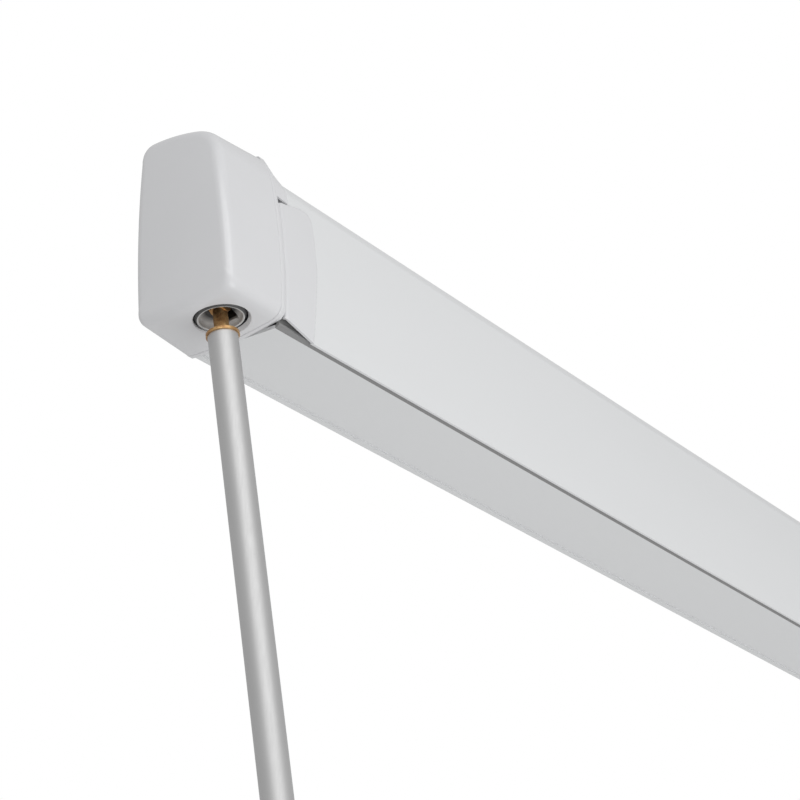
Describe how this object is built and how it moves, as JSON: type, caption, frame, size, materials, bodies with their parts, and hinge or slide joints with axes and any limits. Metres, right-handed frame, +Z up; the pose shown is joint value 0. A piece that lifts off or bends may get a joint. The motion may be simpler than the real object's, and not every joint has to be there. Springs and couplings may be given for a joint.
{
  "type": "roll out awning",
  "caption": "Closed cassette awning for a caravan wall, with folding arms, roller, geared drive and a hooked crank.",
  "frame": {"origin": "middle of the centre wall bracket, on the face that lies against the wall", "axes": "+X along the awning with the crank at the -X end, +Y into the wall, +Z up"},
  "size_m": [2.594, 0.2758, 1.421],
  "materials": {
    "cap_plastic": "satin moulded, light grey white",
    "white_paint": "satin powder coat",
    "arm_paint": "satin powder coat",
    "cast_joint": "die cast, matt",
    "plate_paint": "satin",
    "steel": "zinc plated",
    "seal_rubber": "matt",
    "dark_plastic": "moulded, fine grain",
    "gear_zinc": "die cast zinc",
    "cup_plastic": "moulded, light grey",
    "hook_brass": "tumbled",
    "crank_aluminium": "satin anodised",
    "handle_steel": "bright plated",
    "leg_aluminium": "satin anodised",
    "cloth": "woven, coated",
    "hem_cord": "smooth"
  },
  "bodies": {
    "cassette": {"wall_brackets": "steel", "cassette_profile": "white_paint", "bracket_rivets": "steel", "seal_strip": "seal_rubber", "left_end_plate": "plate_paint", "right_end_plate": "plate_paint", "roller_bushes": "dark_plastic", "left_end_cap": "cap_plastic", "right_end_cap": "cap_plastic", "cap_screws": "steel", "gear_housing": "dark_plastic", "input_bush": "dark_plastic", "left_shoulder_bracket": "cast_joint", "right_shoulder_bracket": "cast_joint", "shoulder_pins": "steel"},
    "roller": {"roller_tube": "steel", "drive_plug": "steel", "idle_plug": "steel", "bevel_wheel": "gear_zinc", "cloth_roll": "cloth"},
    "input": {"bevel_pinion": "gear_zinc", "swivel_fork": "gear_zinc"},
    "cup": {"swivel_cup": "cup_plastic", "cross_pin": "steel"},
    "crank": {"crank_hook": "hook_brass", "crank_tube": "crank_aluminium", "crank_handle": "handle_steel"},
    "sleeve": {"guide_sleeve": "dark_plastic"},
    "grip": {"crank_grip": "dark_plastic"},
    "lead_rail": {"rail_profile": "white_paint", "left_rail_end_cap": "cap_plastic", "right_rail_end_cap": "cap_plastic", "hem_rod": "hem_cord", "wrist_brackets": "cast_joint", "wrist_pins": "steel"},
    "cloth": {"cloth_sheet": "cloth"},
    "left_upper_arm": {"left_upper_arm": "arm_paint", "left_shoulder_knuckle": "cast_joint", "left_elbow_fork": "cast_joint", "left_elbow_pin": "steel"},
    "left_forearm": {"left_forearm": "arm_paint", "left_elbow_tongue": "cast_joint", "left_wrist_knuckle": "cast_joint"},
    "left_leg": {"left_leg_head": "leg_aluminium", "left_leg_tube": "leg_aluminium"},
    "left_inner_leg": {"left_leg_inner": "leg_aluminium"},
    "left_foot": {"left_leg_foot": "dark_plastic"},
    "left_lever": {"left_leg_lever": "dark_plastic"},
    "right_upper_arm": {"right_upper_arm": "arm_paint", "right_shoulder_knuckle": "cast_joint", "right_elbow_fork": "cast_joint", "right_elbow_pin": "steel"},
    "right_forearm": {"right_forearm": "arm_paint", "right_elbow_tongue": "cast_joint", "right_wrist_knuckle": "cast_joint"},
    "right_leg": {"right_leg_head": "leg_aluminium", "right_leg_tube": "leg_aluminium"},
    "right_inner_leg": {"right_leg_inner": "leg_aluminium"},
    "right_foot": {"right_leg_foot": "dark_plastic"},
    "right_lever": {"right_leg_lever": "dark_plastic"}
  },
  "joints": [
    {"name": "crank_spin", "type": "hinge", "parent": "cassette", "child": "input", "pos_m": [-1.264, -0.035, 0.026], "axis": [0, 0.165, 0.9863], "range_deg": [0, 18000]},
    {"name": "roller_spin", "type": "hinge", "parent": "cassette", "child": "roller", "pos_m": [-1.264, -0.035, 0.026], "axis": [1, 0, 0], "range_deg": [0, 4500]},
    {"name": "left_shoulder", "type": "hinge", "parent": "cassette", "child": "left_upper_arm", "pos_m": [-1.205, -0.019, -0.03599], "axis": [0, 0.1045, -0.9945], "range_deg": [0, 64]},
    {"name": "left_elbow", "type": "hinge", "parent": "left_upper_arm", "child": "left_forearm", "pos_m": [-0.085, -0.03093, -0.03725], "axis": [0, -0.1045, 0.9945], "range_deg": [0, 128]},
    {"name": "right_shoulder", "type": "hinge", "parent": "cassette", "child": "right_upper_arm", "pos_m": [1.205, -0.019, -0.03599], "axis": [0, -0.1045, 0.9945], "range_deg": [0, 64]},
    {"name": "right_elbow", "type": "hinge", "parent": "right_upper_arm", "child": "right_forearm", "pos_m": [0.085, -0.03093, -0.03725], "axis": [0, 0.1045, -0.9945], "range_deg": [0, 128]},
    {"name": "left_wrist", "type": "hinge", "parent": "left_forearm", "child": "lead_rail", "pos_m": [-1.205, -0.04287, -0.0385], "axis": [0, 0.1045, -0.9945], "range_deg": [0, 64]},
    {"name": "cloth_slide", "type": "slide", "parent": "cassette", "child": "cloth", "axis": [0, -0.9945, -0.1045], "range_m": [0, 1.9998], "deforming": ["cloth_sheet"]},
    {"name": "left_leg_swing", "type": "hinge", "parent": "lead_rail", "child": "left_leg", "pos_m": [-1.18, -0.0634, -0.00799], "axis": [0, 1, 0], "range_deg": [0, 90]},
    {"name": "left_leg_slide", "type": "slide", "parent": "left_leg", "child": "left_inner_leg", "axis": [1, 0, 0], "range_m": [0, 0.85]},
    {"name": "left_foot_tilt", "type": "hinge", "parent": "left_inner_leg", "child": "left_foot", "pos_m": [-0.18, -0.0634, -0.00799], "axis": [0, 1, 0], "range_deg": [-12, 12]},
    {"name": "left_lever_swing", "type": "hinge", "parent": "left_leg", "child": "left_lever", "pos_m": [-0.242, -0.0634, -0.01879], "axis": [0, -1, 0], "range_deg": [0, 60]},
    {"name": "right_leg_swing", "type": "hinge", "parent": "lead_rail", "child": "right_leg", "pos_m": [1.18, -0.0634, -0.00799], "axis": [0, -1, 0], "range_deg": [0, 90]},
    {"name": "right_leg_slide", "type": "slide", "parent": "right_leg", "child": "right_inner_leg", "axis": [-1, 0, 0], "range_m": [0, 0.85]},
    {"name": "right_foot_tilt", "type": "hinge", "parent": "right_inner_leg", "child": "right_foot", "pos_m": [0.18, -0.0634, -0.00799], "axis": [0, -1, 0], "range_deg": [-12, 12]},
    {"name": "right_lever_swing", "type": "hinge", "parent": "right_leg", "child": "right_lever", "pos_m": [0.242, -0.0634, -0.01879], "axis": [0, 1, 0], "range_deg": [0, 60]},
    {"name": "cup_tilt", "type": "hinge", "parent": "input", "child": "cup", "pos_m": [-1.264, -0.04754, -0.04896], "axis": [1, 0, 0], "range_deg": [-25, 25]},
    {"name": "crank_tilt", "type": "hinge", "parent": "cup", "child": "crank", "pos_m": [-1.264, -0.04754, -0.04896], "axis": [0, 0.9863, -0.165], "range_deg": [-20, 20]},
    {"name": "sleeve_spin", "type": "hinge", "parent": "crank", "child": "sleeve", "pos_m": [-1.264, -0.18024, -0.84193], "axis": [0, 0.165, 0.9863], "continuous": true},
    {"name": "grip_spin", "type": "hinge", "parent": "crank", "child": "grip", "pos_m": [-1.104, -0.24956, -1.25617], "axis": [0, 0.165, 0.9863], "continuous": true}
  ],
  "couplings": [
    {"joint": "crank_spin", "follows": "left_shoulder", "ratio": 281.25},
    {"joint": "roller_spin", "follows": "left_shoulder", "ratio": 70.312},
    {"joint": "left_elbow", "follows": "left_shoulder", "ratio": 2},
    {"joint": "right_shoulder", "follows": "left_shoulder", "ratio": 1},
    {"joint": "right_elbow", "follows": "left_shoulder", "ratio": 2},
    {"joint": "left_wrist", "follows": "left_shoulder", "ratio": 1},
    {"joint": "cloth_slide", "follows": "left_shoulder", "m_per_rad": 1.7903},
    {"joint": "left_leg_swing", "follows": "left_shoulder", "ratio": 1.4062},
    {"joint": "left_leg_slide", "follows": "left_shoulder", "m_per_rad": 0.76095},
    {"joint": "right_leg_swing", "follows": "left_shoulder", "ratio": 1.4062},
    {"joint": "right_leg_slide", "follows": "left_shoulder", "m_per_rad": 0.76095}
  ]
}
